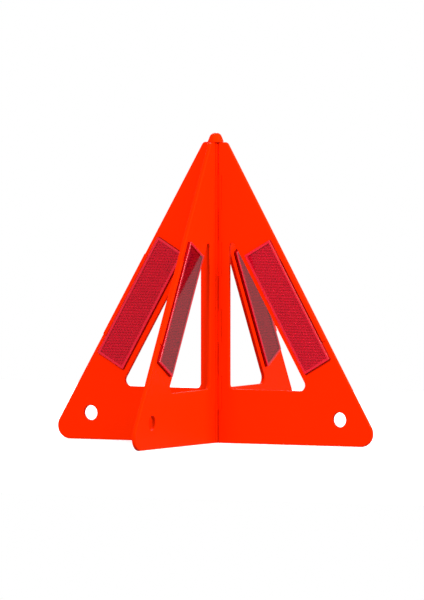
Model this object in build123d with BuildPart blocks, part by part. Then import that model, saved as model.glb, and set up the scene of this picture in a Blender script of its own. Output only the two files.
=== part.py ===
from build123d import *
from math import cos, radians, sin, sqrt, tan
import os

# Folding warning triangle. Millimetres, +Z up, origin on the spine's axis at the floor.
# Four half-triangle wings hang on an upright spine: right +X, rear +Y, left -X, front -Y.
# The right and left lenses face -Y, the front and rear lenses face +X. Right and rear come from
# one mould, left and front from its mirror image. Each wing folds 45 degrees about its own pin,
# right with rear and left with front, so the wings lie in two flat layers.

# ---- driving dimensions ----
triangle_side = 300.0        # side of the full triangle that the wings follow
panel_top = 241.5            # height at which the wings' tip is cut off flat
panel_thickness = 3.3
panel_edge_round = 0.75
foot_corner_radius = 10.6    # outer corner on the floor
shoulder_radius = 3.5        # where the sloping edge meets the cut-off tip

window_inner = 12.9          # window's upright side, from the axis
window_bottom = 43.5
window_foot_radius = 4.8     # window corner nearest the wing's foot
window_heel_radius = 4.0     # window corner at the bottom of the upright side
window_apex_radius = 2.75

hole_radius = 6.05
hole_reach = 112.6           # hole's distance from the axis
hole_height = 21.3
hole_edge_chamfer = 0.3

lens_length = 109.0
lens_width = 26.3
lens_thickness = 4.0
lens_raise = 2.8             # how far the lens stands proud of the panel
lens_margin = 3.9            # from the sloping edge to the lens
lens_window_margin = 4.4     # from the lens to the window
lens_along = 137.6           # lens centre, along the sloping edge from the triangle's corner
lens_corner_radius = 0.8
lens_edge_round = 0.4
lens_clearance = 0.1         # all round the lens in its seat
lens_ledge = 1.6             # width of the ledge that the lens is welded to

lip_height = 1.2             # raised lip between the lens and the sloping edge
lip_lower_inset = 15.0       # from the lens's lower end to the lip's
lip_upper_inset = 18.0
lip_end_round = 0.9
lip_lens_gap = 0.3

fold_gap = 0.3               # between a folded wing's lens and the wing in front of it
knuckle_count = 9            # wing and spine knuckles by turns, a wing knuckle at each end
knuckle_gap = 0.25           # between a wing knuckle and its neighbours on the spine
barrel_side_gap = 0.3        # between a barrel and whatever it turns beside
barrel_end_round = 0.6
web_thickness = 2.0          # spine webs that carry the knuckles
pin_radius = 0.75
pin_push_clearance = 0.02    # pin in the spine's knuckles
pin_running_clearance = 0.05 # pin in the wing's knuckles
pin_floor = 1.6              # plastic left under the blind bore in the lowest knuckle
pin_end_float = 0.2
pin_tip_chamfer = 0.2

fold_angle = 45.0
stop_tooth_angle = 60.0      # width of the stop tooth on the spine's top knuckles
stop_tooth_height = 1.2
stop_play = 1.0              # degrees left free at each stop

cap_height = 7.0
cap_overhang = 0.3           # cap's rim, out past the barrels
cap_top_radius = 3.7         # before it is rounded
cap_top_round = 4.2
cap_gap = 0.3                # under the cap, over the wings
stub_height = 4.5            # the core's stub inside the cap, above the cap's underside

# ---- worked-out dimensions ----
half_side = triangle_side / 2
slope = tan(radians(30))     # sideways run of the sloping edge for each unit of height
half_thickness = panel_thickness / 2
barrel_radius = half_thickness
# Two wings that fold 45 degrees each end up hinge_offset times the root of two apart.
folded_pitch = panel_thickness + max(lens_raise, lip_height) + fold_gap
hinge_offset = folded_pitch / sqrt(2)
core_radius = hinge_offset - barrel_radius - barrel_side_gap
notch_reach = hinge_offset + barrel_radius + barrel_side_gap
shoulder_reach = half_side - slope * panel_top
strip_width = lens_margin + lens_width + lens_window_margin
window_line = half_side - strip_width / cos(radians(30))
window_apex_height = (window_line - window_inner) / slope
window_foot_reach = window_line - slope * window_bottom
lens_centre = -(lens_margin + lens_width / 2)
seat_depth = lens_thickness - lens_raise
lip_low = lens_along - lens_length / 2 + lip_lower_inset
lip_high = lens_along + lens_length / 2 - lip_upper_inset
lip_width = lens_margin - lip_lens_gap
knuckle_pitch = panel_top / knuckle_count
wing_knuckles = range(0, knuckle_count, 2)
spine_knuckles = range(1, knuckle_count, 2)
top_interface = knuckle_pitch * (knuckle_count - 1)
wing_bore_radius = pin_radius + pin_running_clearance
spine_bore_radius = pin_radius + pin_push_clearance
cap_underside = panel_top + cap_gap
cap_base_radius = hinge_offset + barrel_radius + cap_overhang

os.makedirs("parts", exist_ok=True)

# Seen square to a right-hand wing's lens face: X runs out from the axis, Y is height.
wing_plane = Plane.XZ
# The same view, turned to the sloping edge: X runs out square to it, Y runs up along it.
strip_plane = Plane(
    origin=(half_side, 0, 0),
    x_dir=(cos(radians(30)), 0, sin(radians(30))),
    z_dir=(0, -1, 0),
)


def write(piece, name):
    piece.part.label = name
    export_step(piece.part, f"parts/{name}.step")


def ring_sector(inner, outer, start, sweep, centre_x):
    """Flat sector of a ring, from the angle start through the angle sweep, in degrees."""
    first, last = radians(start), radians(start + sweep)
    with BuildSketch(mode=Mode.PRIVATE) as sector:
        with BuildLine():
            CenterArc((centre_x, 0), outer, start, sweep)
            CenterArc((centre_x, 0), inner, start, sweep)
            for angle in (first, last):
                Line(
                    (centre_x + inner * cos(angle), inner * sin(angle)),
                    (centre_x + outer * cos(angle), outer * sin(angle)),
                )
        make_face()
    return sector.sketch


# ---- wings ----
# The right-hand mould's wing: a flat panel with a window, a raised lip, a seat for the lens
# and hinge knuckles down its upright edge.
with BuildPart() as right_hand_wing:
    with BuildSketch(wing_plane) as outline:
        with BuildLine():
            Polyline(
                (hinge_offset, 0),
                (half_side, 0),
                (shoulder_reach, panel_top),
                (hinge_offset, panel_top),
                close=True,
            )
        make_face()
        foot_corner = outline.vertices().sort_by(Axis.X)[-1]
        fillet(foot_corner, foot_corner_radius)
        shoulder = outline.vertices().group_by(Axis.Y)[-1].sort_by(Axis.X)[-1]
        fillet(shoulder, shoulder_radius)
        with BuildSketch(mode=Mode.PRIVATE) as window:
            with BuildLine():
                Polyline(
                    (window_inner, window_bottom),
                    (window_foot_reach, window_bottom),
                    (window_inner, window_apex_height),
                    close=True,
                )
            make_face()
            fillet(window.vertices().sort_by(Axis.X)[-1], window_foot_radius)
            fillet(window.vertices().sort_by(Axis.Y)[-1], window_apex_radius)
            heel = window.vertices().group_by(Axis.X)[0].sort_by(Axis.Y)[0]
            fillet(heel, window_heel_radius)
        add(window.sketch, mode=Mode.SUBTRACT)
    extrude(amount=half_thickness, both=True)

    # Moulded rounding along the panel's outer edges and round its window.
    on_faces = right_hand_wing.edges().filter_by(
        lambda edge: abs(abs(edge.center().Y) - half_thickness) < 0.01
        and edge.center().X > hinge_offset + 0.01
    )
    fillet(on_faces, panel_edge_round)

    # Hole near the foot.
    with BuildSketch(wing_plane):
        with Locations((hole_reach, hole_height)):
            Circle(hole_radius)
    extrude(amount=half_thickness, both=True, mode=Mode.SUBTRACT)
    hole_edges = right_hand_wing.edges().filter_by(GeomType.CIRCLE).filter_by(
        lambda edge: abs(edge.radius - hole_radius) < 0.01
    )
    chamfer(hole_edges, hole_edge_chamfer)

    # Raised lip along the sloping edge, on the lens face only.
    with BuildPart(mode=Mode.PRIVATE) as lip:
        with BuildSketch(strip_plane):
            with Locations((-lip_width / 2, (lip_low + lip_high) / 2)):
                RectangleRounded(lip_width, lip_high - lip_low, lip_end_round)
        extrude(amount=half_thickness + lip_height)
        fillet(lip.faces().sort_by(Axis.Y)[0].edges(), panel_edge_round)
    add(lip.part)

    # Seat for the lens: a shallow pocket, open at the back inside a ledge.
    with BuildSketch(strip_plane.offset(half_thickness - seat_depth)):
        with Locations((lens_centre, lens_along)):
            RectangleRounded(
                lens_width + 2 * lens_clearance,
                lens_length + 2 * lens_clearance,
                lens_corner_radius + lens_clearance,
            )
    extrude(amount=seat_depth + lip_height, mode=Mode.SUBTRACT)
    with BuildSketch(strip_plane):
        with Locations((lens_centre, lens_along)):
            RectangleRounded(
                lens_width - 2 * lens_ledge,
                lens_length - 2 * lens_ledge,
                lens_corner_radius,
            )
    extrude(amount=half_thickness, both=True, mode=Mode.SUBTRACT)

    # Room for the spine's knuckles, then the wing's own barrels between them.
    for index in spine_knuckles:
        low = index * knuckle_pitch - knuckle_gap
        with BuildSketch(Plane.XY.offset(low)):
            with Locations((notch_reach / 2, 0)):
                Rectangle(notch_reach, 2 * panel_thickness)
        extrude(amount=knuckle_pitch + 2 * knuckle_gap, mode=Mode.SUBTRACT)
    for index in wing_knuckles:
        with BuildSketch(Plane.XY.offset(index * knuckle_pitch)):
            with Locations((hinge_offset, 0)):
                Circle(barrel_radius)
        extrude(amount=knuckle_pitch)
    with BuildSketch(Plane.XY.offset(pin_floor)):
        with Locations((hinge_offset, 0)):
            Circle(wing_bore_radius)
    extrude(amount=panel_top, mode=Mode.SUBTRACT)

with BuildPart() as left_hand_wing:
    mirror(right_hand_wing.part, about=Plane.YZ)

# ---- lenses ----
# A clear red plate, corner-cube faced behind, that stands proud of the panel.
with BuildPart() as right_hand_lens:
    with BuildSketch(strip_plane.offset(half_thickness - seat_depth)):
        with Locations((lens_centre, lens_along)):
            RectangleRounded(lens_width, lens_length, lens_corner_radius)
    extrude(amount=lens_thickness)
    fillet(right_hand_lens.faces().sort_by(Axis.Y)[0].edges(), lens_edge_round)

with BuildPart() as left_hand_lens:
    mirror(right_hand_lens.part, about=Plane.YZ)

# Each wing and its lens: the mould's own place, then a quarter turn for the other pair.
# Under a wing's top knuckle a slot takes the spine's stop tooth. It is as wide as the fold
# needs, and opens to the side that the wing folds to: anticlockwise from above for right and
# left, clockwise for rear and front.
placings = (
    ("right", right_hand_wing, right_hand_lens, 0, 0, "anticlockwise"),
    ("rear", right_hand_wing, right_hand_lens, 90, 90, "clockwise"),
    ("left", left_hand_wing, left_hand_lens, 0, 180, "anticlockwise"),
    ("front", left_hand_wing, left_hand_lens, 90, 270, "clockwise"),
)
slot_sweep = stop_tooth_angle + fold_angle + 2 * stop_play
for side, moulded_wing, moulded_lens, turn, around, fold_way in placings:
    slot_start = 180 - stop_tooth_angle / 2 - stop_play
    if fold_way == "anticlockwise":
        slot_start -= fold_angle
    with BuildPart() as wing:
        add(moulded_wing.part, rotation=(0, 0, turn))
        with BuildSketch(Plane.XY.offset(top_interface)):
            slot = ring_sector(
                pin_radius / 2, 2 * barrel_radius, slot_start, slot_sweep, hinge_offset
            )
            add(slot, rotation=around)
        extrude(amount=stop_tooth_height + knuckle_gap, mode=Mode.SUBTRACT)
    write(wing, f"{side}_wing")
    with BuildPart() as lens:
        add(moulded_lens.part, rotation=(0, 0, turn))
    write(lens, f"{side}_lens")

# ---- spine ----
# A round core from the floor into the cap, with webs out to a knuckle for each wing.
with BuildPart() as spine:
    with BuildSketch(Plane.XY):
        Circle(core_radius)
    extrude(amount=cap_underside + stub_height)
    fillet(spine.edges().sort_by(Axis.Z)[0], barrel_end_round)
    for index in spine_knuckles:
        low = index * knuckle_pitch
        with BuildSketch(Plane.XY.offset(low)):
            with PolarLocations(hinge_offset, 4):
                Circle(barrel_radius)
            with PolarLocations(hinge_offset / 2, 4):
                Rectangle(hinge_offset, web_thickness)
        extrude(amount=knuckle_pitch)
    with BuildSketch(Plane.XY.offset(top_interface)):
        for side_index in range(4):
            tooth = ring_sector(
                spine_bore_radius,
                barrel_radius,
                180 - stop_tooth_angle / 2,
                stop_tooth_angle,
                hinge_offset,
            )
            add(tooth, rotation=90 * side_index)
    extrude(amount=stop_tooth_height)
    with BuildSketch(Plane.XY.offset(pin_floor)):
        with PolarLocations(hinge_offset, 4):
            Circle(spine_bore_radius)
    extrude(amount=top_interface + stop_tooth_height - pin_floor, mode=Mode.SUBTRACT)
write(spine, "spine")

# ---- hinge pins ----
# Steel wire, dropped in from the top before the cap goes on.
for side, around in (("right", 0), ("rear", 90), ("left", 180), ("front", 270)):
    with BuildPart() as pin:
        with BuildSketch(Plane.XY.offset(pin_floor + pin_end_float)):
            with PolarLocations(hinge_offset, 1, start_angle=around):
                Circle(pin_radius)
        extrude(amount=panel_top - pin_floor - pin_end_float)
        chamfer(pin.edges().filter_by(GeomType.CIRCLE), pin_tip_chamfer)
    write(pin, f"{side}_hinge_pin")

# ---- top cap ----
# A tapered cap pushed on the core's stub. It covers the four barrels and their pins.
with BuildPart() as top_cap:
    with BuildSketch(Plane.XZ):
        with BuildLine():
            Polyline(
                (0, cap_underside),
                (cap_base_radius, cap_underside),
                (cap_top_radius, cap_underside + cap_height),
                (0, cap_underside + cap_height),
                close=True,
            )
        make_face()
    revolve(axis=Axis.Z)
    fillet(top_cap.edges().sort_by(Axis.Z)[-1], cap_top_round)
    with BuildSketch(Plane.XY.offset(cap_underside)):
        Circle(core_radius)
    extrude(amount=stub_height, mode=Mode.SUBTRACT)
write(top_cap, "top_cap")
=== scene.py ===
from math import cos, pi, radians, sin, sqrt

import bmesh
import bpy
from mathutils import Matrix, Vector


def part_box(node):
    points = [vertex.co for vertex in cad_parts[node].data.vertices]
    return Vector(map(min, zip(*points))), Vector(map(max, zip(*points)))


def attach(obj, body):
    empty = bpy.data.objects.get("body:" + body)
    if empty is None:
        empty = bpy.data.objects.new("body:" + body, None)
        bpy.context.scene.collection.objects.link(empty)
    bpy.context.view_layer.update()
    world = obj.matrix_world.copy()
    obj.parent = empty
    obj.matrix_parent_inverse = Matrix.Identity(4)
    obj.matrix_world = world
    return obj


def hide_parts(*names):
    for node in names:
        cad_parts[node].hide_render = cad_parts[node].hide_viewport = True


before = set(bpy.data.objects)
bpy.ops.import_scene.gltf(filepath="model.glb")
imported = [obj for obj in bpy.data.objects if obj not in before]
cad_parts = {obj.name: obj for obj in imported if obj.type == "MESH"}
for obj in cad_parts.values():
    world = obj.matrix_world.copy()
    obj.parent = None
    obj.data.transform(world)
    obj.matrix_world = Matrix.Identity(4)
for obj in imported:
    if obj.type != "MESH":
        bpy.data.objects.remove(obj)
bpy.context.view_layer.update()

# ---- Camera ----
# A view without perspective, as if from very far off, so upright edges stay upright and all four
# wings keep their true proportions. It looks slightly down, and is more nearly square to the right
# and left wings than to the front and rear ones.
camera_azimuth = 27.7
camera_elevation = 3.24
camera_distance = 2.0
picture_height = 0.48103
aim_height = 0.1146
aim_shift = -0.00297
scene = bpy.context.scene


def linked(name, data):
    """Makes an object of the data and puts it in the scene."""
    made = bpy.data.objects.new(name, data)
    scene.collection.objects.link(made)
    return made


def seen_from(azimuth, elevation):
    """Unit vector from the object to a viewer, in degrees: azimuth 0 is in front, 90 right."""
    turn, rise = radians(azimuth), radians(elevation)
    return Vector((sin(turn) * cos(rise), -cos(turn) * cos(rise), sin(rise)))


def aim_at(target, made, away, distance):
    """Places a camera or a lamp at a distance from the target, looking back at it."""
    made.location = target + away * distance
    made.rotation_mode = "QUATERNION"
    made.rotation_quaternion = (-away).to_track_quat("-Z", "Y")


camera_data = bpy.data.cameras.new("camera")
camera_data.type = "ORTHO"
camera_data.ortho_scale = picture_height
camera = linked("camera", camera_data)
camera_right = Vector((cos(radians(camera_azimuth)), sin(radians(camera_azimuth)), 0))
camera_target = camera_right * aim_shift + Vector((0, 0, aim_height))
aim_at(camera_target, camera, seen_from(camera_azimuth, camera_elevation), camera_distance)
scene.camera = camera
scene.view_settings.view_transform = "Standard"

# ---- Stage ----
# A white light table in a white surround. A large soft lamp in front lights the two wings that
# face it, and one to the right lights the other two more strongly. A weak one between them
# reaches into the holes, and another fills in behind.
floor_reach = 0.7
paper_white = (1, 1, 1, 1)


class Field:
    """A value that varies over a surface. Arithmetic on fields adds Math nodes to the finish."""

    def __init__(self, finish, socket):
        self.finish, self.socket = finish, socket

    def math(self, operation, first, second):
        values = {0: first, 1: second}
        return self.finish.node("Math", {"operation": operation}, values)

    def __add__(self, other):
        return self.math("ADD", self, other)

    def __radd__(self, other):
        return self.math("ADD", other, self)

    def __sub__(self, other):
        return self.math("SUBTRACT", self, other)

    def __rsub__(self, other):
        return self.math("SUBTRACT", other, self)

    def __mul__(self, other):
        return self.math("MULTIPLY", self, other)

    def __rmul__(self, other):
        return self.math("MULTIPLY", other, self)

    def __pow__(self, exponent):
        return self.math("POWER", self, exponent)


class Finish:
    """A procedural material, built up node by node from the surface's own position."""

    def __init__(self, name):
        self.material = bpy.data.materials.new(name)
        self.material.use_nodes = True
        self.tree = self.material.node_tree
        self.tree.nodes.clear()
        self.place = self.node("TexCoord", output="Object")

    def node(self, kind, settings=None, values=None, output=0):
        """Adds a node, makes its settings, fills its inputs and gives one of its outputs."""
        made = self.tree.nodes.new("ShaderNode" + kind)
        for name, setting in (settings or {}).items():
            setattr(made, name, setting)
        for name, value in (values or {}).items():
            if isinstance(value, Field):
                self.tree.links.new(value.socket, made.inputs[name])
            else:
                made.inputs[name].default_value = value
        return Field(self, made.outputs[output])

    def stretched(self, scale):
        """The surface position, scaled by three factors, for a pattern that runs one way."""
        values = {"Vector": self.place, "Scale": scale}
        return self.node("Mapping", {"vector_type": "POINT"}, values)

    def noise(self, size, detail, place=None):
        """Cloudy variation from 0 to 1, with features about as large as size, in metres."""
        values = {"Vector": place or self.place, "Scale": 1 / size, "Detail": detail}
        return self.node("TexNoise", {"normalize": True}, values, "Fac")

    def blend(self, share, first, second):
        """Colour that goes from first to second as share goes from 0 to 1."""
        return self.node("Mix", {"data_type": "RGBA"}, {0: share, 6: first, 7: second}, 2)

    def relief(self, height, depth):
        """Surface normal of a height field whose full range is depth, in metres."""
        return self.node("Bump", None, {"Height": height, "Distance": depth, "Strength": 1.0})

    def end_in(self, shader):
        """Ends the tree in the given shader."""
        ending = self.tree.nodes.new("ShaderNodeOutputMaterial")
        self.tree.links.new(shader.socket, ending.inputs["Surface"])
        return self.material

    def shade(self, values):
        """Ends the tree in one Principled shader."""
        return self.end_in(self.node("BsdfPrincipled", None, values))


floor_mesh = bpy.data.meshes.new("floor")
corners = [(x * floor_reach, y * floor_reach, 0) for x, y in ((-1, -1), (1, -1), (1, 1), (-1, 1))]
floor_mesh.from_pydata(corners, [], [(0, 1, 2, 3)])
floor = linked("floor", floor_mesh)
# The table's light stays off the object, so edges that turn down are a little darker.
floor.visible_diffuse = False
floor.visible_glossy = False
paper = Finish("white_paper")
fibre = paper.noise(0.004, detail=4.0)
floor_mesh.materials.append(paper.shade({
    "Base Color": paper.blend(fibre, (0.86, 0.86, 0.86, 1), (0.9, 0.9, 0.9, 1)),
    "Roughness": 0.8,
    "Specular IOR Level": 0.1,
    "Emission Color": paper_white,
    "Emission Strength": 0.45,
}))


def soft_lamp(name, azimuth, elevation, distance, size, light):
    """A square lamp that looks at the middle of the object and isn't seen itself. A white surface
    square to it looks as bright as light says."""
    lamp_data = bpy.data.lights.new(name, "AREA")
    lamp_data.shape = "SQUARE"
    lamp_data.size = size
    lamp_data.energy = light * pi**2 * distance**2
    lamp = linked(name, lamp_data)
    aim_at(Vector((0, 0, aim_height)), lamp, seen_from(azimuth, elevation), distance)
    lamp.visible_camera = False


soft_lamp("front_lamp", azimuth=0, elevation=25, distance=2.5, size=0.8, light=0.84)
soft_lamp("side_lamp", azimuth=90, elevation=25, distance=2.5, size=0.8, light=1.18)
soft_lamp("corner_lamp", azimuth=45, elevation=20, distance=2.2, size=1.0, light=0.2)
soft_lamp("back_lamp", azimuth=220, elevation=35, distance=2.2, size=1.2, light=0.7)

# The camera sees the surround as paper white. The light that it gives is weaker, and is strongest
# from behind on the right.
brightest_direction = (0.46, 0.887, -0.05)
edge_of_bright, heart_of_bright = 0.6, 0.95
dim_light, bright_light = 0.32, 0.56
surround = bpy.data.worlds.new("surround")
surround.use_nodes = True
scene.world = surround
surround_nodes, surround_links = surround.node_tree.nodes, surround.node_tree.links
direction = surround_nodes.new("ShaderNodeTexCoord")
alignment = surround_nodes.new("ShaderNodeVectorMath")
alignment.operation = "DOT_PRODUCT"
alignment.inputs[1].default_value = brightest_direction
lit = surround_nodes.new("ShaderNodeMapRange")
lit.inputs["From Min"].default_value = edge_of_bright
lit.inputs["From Max"].default_value = heart_of_bright
lit.inputs["To Min"].default_value = dim_light
lit.inputs["To Max"].default_value = bright_light
seen = surround_nodes.new("ShaderNodeLightPath")
level = surround_nodes.new("ShaderNodeMix")
level.inputs["B"].default_value = 1.0
background = surround_nodes["Background"]
background.inputs["Color"].default_value = paper_white
surround_links.new(direction.outputs["Generated"], alignment.inputs[0])
surround_links.new(alignment.outputs["Value"], lit.inputs["Value"])
surround_links.new(lit.outputs["Result"], level.inputs["A"])
surround_links.new(seen.outputs["Is Camera Ray"], level.inputs["Factor"])
surround_links.new(level.outputs["Result"], background.inputs["Strength"])

# ---- Wings ----
# Four half-triangles, injection-moulded in fluorescent orange polypropylene. Each hangs on its
# own pin. The moulding is smooth, with a faint satin grain and slow flow marks from the gate.
sides = ("right", "rear", "left", "front")
orange_gloss = {"Specular IOR Level": 0.02, "Specular Tint": (1.0, 0.25, 0.06, 1)}


def coat(node, material):
    """Gives a carried-over node its finish."""
    for material_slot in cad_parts[node].material_slots:
        material_slot.material = material


wing_plastic = Finish("orange_polypropylene")
flow = wing_plastic.noise(0.045, detail=3.0, place=wing_plastic.stretched((1.0, 1.0, 0.45)))
grain = wing_plastic.noise(0.0006, detail=2.0)
handling = wing_plastic.noise(0.018, detail=4.0)
coat_of_wings = wing_plastic.shade(orange_gloss | {
    "Base Color": wing_plastic.blend(flow, (0.90, 0.0185, 0.0, 1), (0.94, 0.0205, 0.0, 1)),
    "Roughness": 0.34 + 0.08 * handling + 0.05 * grain,
    "Normal": wing_plastic.relief(grain + 0.5 * flow, 0.000012),
})
for side in sides:
    coat(f"{side}_wing", coat_of_wings)

# ---- Spine ----
# The round core that carries the four rows of hinge barrels, moulded in the same orange, a
# touch deeper because the wall is thick.
spine_plastic = Finish("orange_spine_polypropylene")
spine_place = spine_plastic.stretched((1.0, 1.0, 0.3))
spine_flow = spine_plastic.noise(0.03, detail=3.0, place=spine_place)
spine_grain = spine_plastic.noise(0.0006, detail=2.0)
coat("spine", spine_plastic.shade(orange_gloss | {
    "Base Color": spine_plastic.blend(spine_flow, (0.88, 0.018, 0.0, 1), (0.93, 0.0205, 0.0, 1)),
    "Roughness": 0.36 + 0.08 * spine_flow + 0.05 * spine_grain,
    "Normal": spine_plastic.relief(spine_grain, 0.000012),
}))

# ---- Top cap ----
# The tapered knob pushed on over the hinge pins, moulded in the same orange. Fingers rub it, so it
# is a little glossier on its top than round its skirt. Its colour is also painted lighter towards
# the top, a painted highlight, and darker round the skirt, painted shade.
cap_low, cap_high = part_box("top_cap")
cap_plastic = Finish("orange_cap_polypropylene")
cap_grain = cap_plastic.noise(0.0005, detail=2.0)
cap_rise = cap_plastic.node("SeparateXYZ", None, {"Vector": cap_plastic.place}, "Z")
cap_range = {"Value": cap_rise, "From Min": cap_low.z, "From Max": cap_high.z}
worn_and_painted_lit_top = cap_plastic.node("MapRange", {"clamp": True}, cap_range)
# The colour rising to the top is a painted highlight and the darker skirt painted shade; the gloss
# rising to the top is wear.
coat("top_cap", cap_plastic.shade(orange_gloss | {
    "Base Color": cap_plastic.blend(worn_and_painted_lit_top, (0.89, 0.0185, 0.0, 1), (0.94, 0.0215, 0.0, 1)),
    "Roughness": 0.42 - 0.12 * worn_and_painted_lit_top + 0.05 * cap_grain,
    "Normal": cap_plastic.relief(cap_grain, 0.00001),
}))

# ---- Hinge pins ----
# Four lengths of drawn steel wire, zinc plated, one pushed down each row of barrels. Drawing
# leaves fine lines along the wire.
pin_steel = Finish("plated_wire")
drawn = pin_steel.noise(0.0004, detail=3.0, place=pin_steel.stretched((1.0, 1.0, 0.04)))
tarnish = pin_steel.noise(0.006, detail=3.0)
coat_of_pins = pin_steel.shade({
    "Base Color": pin_steel.blend(tarnish, (0.50, 0.49, 0.47, 1), (0.66, 0.66, 0.66, 1)),
    "Metallic": 1.0,
    "Roughness": 0.22 + 0.2 * drawn,
    "Normal": pin_steel.relief(drawn, 0.000004),
})
for side in sides:
    coat(f"{side}_hinge_pin", coat_of_pins)

# ---- Reflector lenses ----
# Clear red acrylic plates, injection-moulded, and welded into their seats by a plain rim. Behind
# the flat face stands a honeycomb of corner cubes, which sends light back where it comes from.
strip_lean = radians(30)
lens_corner_radius = 0.0008
lens_edge_round = 0.0004
rim_width = 0.002
rim_corner_radius = 0.0003
cube_rows = 10
cube_floor = 0.00115
border_height = 0.0033
border_wall = 0.00015
weld_lift = 0.00002
rounding_steps = 4
merge_distance = 0.00001
cut_tolerance = 0.0000001

# The plate leans with the sloping edge, so its box gives its length and width together.
lens_low, lens_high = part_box("right_lens")
lens_thickness = lens_high.y - lens_low.y
across = lens_high.x - lens_low.x - 2 * lens_corner_radius
upward = lens_high.z - lens_low.z - 2 * lens_corner_radius
lean_cos, lean_sin = cos(strip_lean), sin(strip_lean)
lean_share = lean_cos**2 - lean_sin**2
lens_width = (across * lean_cos - upward * lean_sin) / lean_share + 2 * lens_corner_radius
lens_length = (upward * lean_cos - across * lean_sin) / lean_share + 2 * lens_corner_radius
field_width = lens_width - 2 * rim_width
field_length = lens_length - 2 * rim_width
# Rows of a honeycomb lie closer together than its cells do, by this share.
row_share = cos(radians(30))
cube_pitch = field_width / cube_rows / row_share
cube_edge = cube_pitch / sqrt(2)

# One corner cube, seen along its diagonal: three square faces that meet at the apex, which is
# deepest. Its other corners stand at two heights by turns.
cube_points = [(0, 0, cube_floor)]
for corner in range(6):
    turn = corner * pi / 3
    height = cube_floor + cube_edge / sqrt(3) * (1 + corner % 2)
    radius = cube_pitch / sqrt(3)
    cube_points.append((radius * cos(turn), radius * sin(turn), height))
cube_faces = [(0, 1 + near, 1 + (near + 1) % 6, 1 + (near + 2) % 6) for near in (0, 2, 4)]
cube_mesh = bpy.data.meshes.new("corner_cube")
cube_mesh.from_pydata(cube_points, [], cube_faces)
corner_cube = linked("corner_cube", cube_mesh)


def clear_acrylic(name, tint, gloss, roughness, leaking=0):
    """The plate's surface. It shows what lies behind it and mirrors a share of the surround that
    is gloss seen square on and nears 1 at a slant. Over the cubes, light that comes in past a
    slant leaks out at the back, so there it also darkens what it shows, by up to leaking."""
    skin = Finish(name)
    wave = skin.noise(0.012, detail=2.0)
    smear = skin.noise(0.004, detail=3.0)
    sheen = skin.node("BsdfPrincipled", None, {
        "Base Color": (1, 1, 1, 1),
        "Metallic": 1.0,
        "Roughness": roughness + 0.05 * smear,
        "Normal": skin.relief(wave, 0.00001),
    })
    body = skin.node("BsdfTransparent", None, {"Color": tint})
    slant = skin.node("LayerWeight", None, {"Blend": 0.5}, "Facing")
    if leaking:
        dark = skin.node("BsdfTransparent", None, {"Color": (0.1, 0.02, 0.03, 1)})
        leak_range = {"Value": slant, "From Min": 0.15, "From Max": 0.55, "To Max": leaking}
        leak = skin.node("MapRange", {"clamp": True}, leak_range)
        body = skin.node("MixShader", None, {0: leak, 1: body, 2: dark})
    mirrored = gloss + (1 - gloss) * slant**4.5
    return skin.end_in(skin.node("MixShader", None, {0: mirrored, 1: body, 2: sheen}))


def red_acrylic(name, dull, bright, metal, roughness):
    """The acrylic's inside, with the depth of its red drifting from dull to bright."""
    inside = Finish(name)
    drift = inside.noise(0.006, detail=3.0)
    fleck = inside.noise(0.0009, detail=2.0)
    return inside.shade({
        "Base Color": inside.blend(drift, dull, bright),
        "Metallic": metal + 0.1 * fleck,
        "Roughness": roughness + 0.08 * fleck,
        "Specular IOR Level": 0.1,
    })


red_front = clear_acrylic(
    "clear_red_front", (1.0, 0.85, 0.85, 1), gloss=0.03, roughness=0.03, leaking=0.74
)
red_border = clear_acrylic(
    "clear_red_border", (1.0, 0.75, 0.8, 1), gloss=0.03, roughness=0.3, leaking=0.3
)
red_side = clear_acrylic("clear_red_side", (0.9, 0.2, 0.22, 1), gloss=0.01, roughness=0.3)
red_cubes = red_acrylic(
    "red_corner_cubes",
    dull=(0.64, 0.003, 0.038, 1), bright=(0.73, 0.005, 0.048, 1), metal=0.25, roughness=0.35,
)
# The weld and the skirt round the cube field get a darker copy of the red than the cubes: painted
# shade.
weld_painted_shade = red_acrylic(
    "weld_painted_shade",
    dull=(0.36, 0.004, 0.008, 1), bright=(0.43, 0.006, 0.012, 1), metal=0.0, roughness=0.5,
)
# The back of the border gets a lighter copy of the red than the cubes: a painted highlight.
red_back_painted_highlight = red_acrylic(
    "red_border_back_painted_highlight",
    dull=(0.70, 0.008, 0.038, 1), bright=(0.78, 0.011, 0.048, 1), metal=0.0, roughness=0.45,
)
# The finishes in the order that a lens holds them, and the number of each for its faces.
lens_finishes = (red_front, red_cubes, weld_painted_shade, red_back_painted_highlight, red_border, red_side)
on_front, on_cubes, on_weld_painted_shade, on_back_painted_highlight, on_border, on_side = range(len(lens_finishes))


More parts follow.
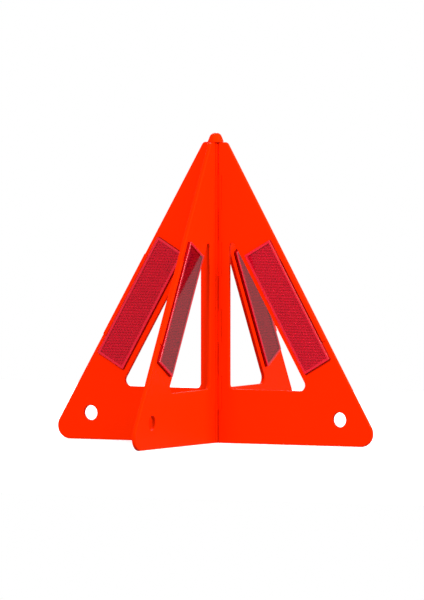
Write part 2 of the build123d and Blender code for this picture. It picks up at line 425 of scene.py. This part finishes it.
def honeycomb_tree():
    """Geometry Nodes: rows of one cell, each second row shifted by half a pitch, all merged."""
    tree = bpy.data.node_groups.new("honeycomb", "GeometryNodeTree")
    inputs = {
        "Geometry": "Geometry",
        "Cell": "Object",
        "Pitch": "Float",
        "Rows": "Int",
        "Columns": "Int",
        "Material": "Material",
    }
    for name, kind in inputs.items():
        tree.interface.new_socket(name, in_out="INPUT", socket_type="NodeSocket" + kind)
    tree.interface.new_socket("Geometry", in_out="OUTPUT", socket_type="NodeSocketGeometry")
    given = tree.nodes.new("NodeGroupInput").outputs

    def add(kind, settings, values, output=0):
        made = tree.nodes.new(kind)
        for name, setting in settings.items():
            setattr(made, name, setting)
        for name, value in values.items():
            if isinstance(value, bpy.types.NodeSocket):
                tree.links.new(value, made.inputs[name])
            else:
                made.inputs[name].default_value = value
        return made.outputs[output]

    def math(operation, first, second=0.0):
        return add("ShaderNodeMath", {"operation": operation}, {0: first, 1: second})

    index = add("GeometryNodeInputIndex", {}, {})
    row = math("FLOOR", math("DIVIDE", index, given["Columns"]))
    column = math("SUBTRACT", index, math("MULTIPLY", row, given["Columns"]))
    shift = math("MULTIPLY", math("MODULO", row, 2.0), 0.5)
    mid_row = math("MULTIPLY", math("SUBTRACT", given["Rows"], 1.0), 0.5)
    mid_column = math("MULTIPLY", given["Columns"], 0.5)
    row_pitch = math("MULTIPLY", given["Pitch"], row_share)
    u = math("MULTIPLY", math("SUBTRACT", row, mid_row), row_pitch)
    v_steps = math("SUBTRACT", math("ADD", column, shift), mid_column)
    v = math("MULTIPLY", v_steps, given["Pitch"])
    place = add("ShaderNodeCombineXYZ", {}, {"X": u, "Y": v})
    count = math("MULTIPLY", given["Rows"], given["Columns"])
    points = add("GeometryNodePoints", {}, {"Count": count, "Position": place})
    cell = add("GeometryNodeObjectInfo", {}, {"Object": given["Cell"]}, "Geometry")
    cells = add("GeometryNodeInstanceOnPoints", {}, {"Points": points, "Instance": cell})
    real = add("GeometryNodeRealizeInstances", {}, {"Geometry": cells})
    merging = {"Geometry": real, "Distance": merge_distance}
    merged = add("GeometryNodeMergeByDistance", {}, merging)
    coating = {"Geometry": merged, "Material": given["Material"]}
    done = add("GeometryNodeSetMaterial", {}, coating)
    tree.links.new(done, tree.nodes.new("NodeGroupOutput").inputs["Geometry"])
    return tree


# The honeycomb overhangs the field on every side, and is then cut to it.
honeycomb = linked("honeycomb", bpy.data.meshes.new("honeycomb"))
grower = honeycomb.modifiers.new("honeycomb", "NODES")
grower.node_group = honeycomb_tree()
honeycomb_inputs = {
    "Cell": corner_cube,
    "Pitch": cube_pitch,
    "Rows": cube_rows + 2,
    "Columns": int(field_length / cube_pitch) + 3,
    "Material": red_cubes,
}
for item in grower.node_group.interface.items_tree:
    if item.name in honeycomb_inputs:
        grower[item.identifier] = honeycomb_inputs[item.name]
evaluated = honeycomb.evaluated_get(bpy.context.evaluated_depsgraph_get())
cube_field = bpy.data.meshes.new_from_object(evaluated)
honeycomb.modifiers.remove(grower)
bpy.data.objects.remove(honeycomb)
bpy.data.objects.remove(corner_cube)

# The plate lies face up with the middle of its back at the origin. The edge of the cut field
# stands up as a wall round it.
plate = bmesh.new()
plate.from_mesh(cube_field)
for face in plate.faces:
    face.material_index = on_cubes
for axis, reach in ((Vector((1, 0, 0)), field_width / 2), (Vector((0, 1, 0)), field_length / 2)):
    for outside in (axis, -axis):
        bmesh.ops.bisect_plane(
            plate,
            geom=plate.verts[:] + plate.edges[:] + plate.faces[:],
            plane_co=outside * reach,
            plane_no=outside,
            clear_outer=True,
            dist=cut_tolerance,
        )
field_edge = [edge for edge in plate.edges if edge.is_boundary]
rim_inner = []
for element in bmesh.ops.extrude_edge_only(plate, edges=field_edge)["geom"]:
    if isinstance(element, bmesh.types.BMVert):
        element.co.z = border_height
    elif isinstance(element, bmesh.types.BMFace):
        element.material_index = on_cubes
    elif element.is_boundary:
        rim_inner.append(element)


def rounded_outline(half_width, half_length, radius, height):
    """Points round a rectangle with rounded corners, anticlockwise, all at one height."""
    points = []
    for quarter, (u_sign, v_sign) in enumerate(((1, 1), (-1, 1), (-1, -1), (1, -1))):
        centre_u = u_sign * (half_width - radius)
        centre_v = v_sign * (half_length - radius)
        for step in range(rounding_steps + 1):
            turn = (quarter + step / rounding_steps) * pi / 2
            points.append((centre_u + radius * cos(turn), centre_v + radius * sin(turn), height))
    return points


# Rings of the plate's rim: inset from its outline, corner radius, height, and the finish of the
# band that leads to the ring.
inner_radius = lens_corner_radius - border_wall
# The skirt and weld bands take the darker red, which is painted shade.
rings = [
    (border_wall, inner_radius, border_height, on_weld_painted_shade),
    (border_wall, inner_radius, weld_lift, on_weld_painted_shade),
    (0, lens_corner_radius, weld_lift, on_weld_painted_shade),
    (0, lens_corner_radius, lens_thickness - lens_edge_round, on_side),
]
for step in range(1, rounding_steps + 1):
    turn = step / rounding_steps * pi / 2
    inset = lens_edge_round * (1 - cos(turn))
    height = lens_thickness - lens_edge_round * (1 - sin(turn))
    rings.append((inset, lens_corner_radius - inset, height, on_border))
rings.append((rim_width, rim_corner_radius, lens_thickness, on_border))
previous = None
for inset, radius, height, finish in rings:
    outline = rounded_outline(lens_width / 2 - inset, lens_length / 2 - inset, radius, height)
    ring = [plate.verts.new(point) for point in outline]
    if previous is None:
        rim_outer = [plate.edges.new((ring[k - 1], ring[k])) for k in range(len(ring))]
    else:
        for k in range(len(ring)):
            band = plate.faces.new((previous[k - 1], previous[k], ring[k], ring[k - 1]))
            band.material_index = finish
    previous = ring
plate.faces.new(previous).material_index = on_front
border = bmesh.ops.triangle_fill(plate, edges=rim_inner + rim_outer, use_beauty=True)["geom"]
# The border's back faces take the lighter red, which is a painted highlight.
for element in border:
    if isinstance(element, bmesh.types.BMFace):
        element.material_index = on_back_painted_highlight
bmesh.ops.recalc_face_normals(plate, faces=plate.faces)

# Each wing's direction from the spine, and the side on which its lens stands proud.
outwards = {"right": (1, 0, 0), "rear": (0, 1, 0), "left": (-1, 0, 0), "front": (0, -1, 0)}
facings = {"right": (0, -1, 0), "rear": (1, 0, 0), "left": (0, -1, 0), "front": (1, 0, 0)}
up = Vector((0, 0, 1))
for side in sides:
    facing, outward = Vector(facings[side]), Vector(outwards[side])
    u_axis = outward * cos(strip_lean) + up * sin(strip_lean)
    v_axis = up * cos(strip_lean) - outward * sin(strip_lean)
    low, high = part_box(f"{side}_lens")
    placing = Matrix((u_axis, v_axis, facing)).transposed().to_4x4()
    placing.translation = (low + high) / 2 - facing * lens_thickness / 2
    shape = plate.copy()
    shape.transform(placing)
    # A left-handed placing turns the faces inside out.
    if placing.determinant() < 0:
        bmesh.ops.reverse_faces(shape, faces=shape.faces)
    mesh = bpy.data.meshes.new(f"{side}_reflector")
    shape.to_mesh(mesh)
    shape.free()
    for material in lens_finishes:
        mesh.materials.append(material)
    reflector = linked(f"{side}_reflector", mesh)
    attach(reflector, f"{side}_wing")
    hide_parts(f"{side}_lens")
plate.free()
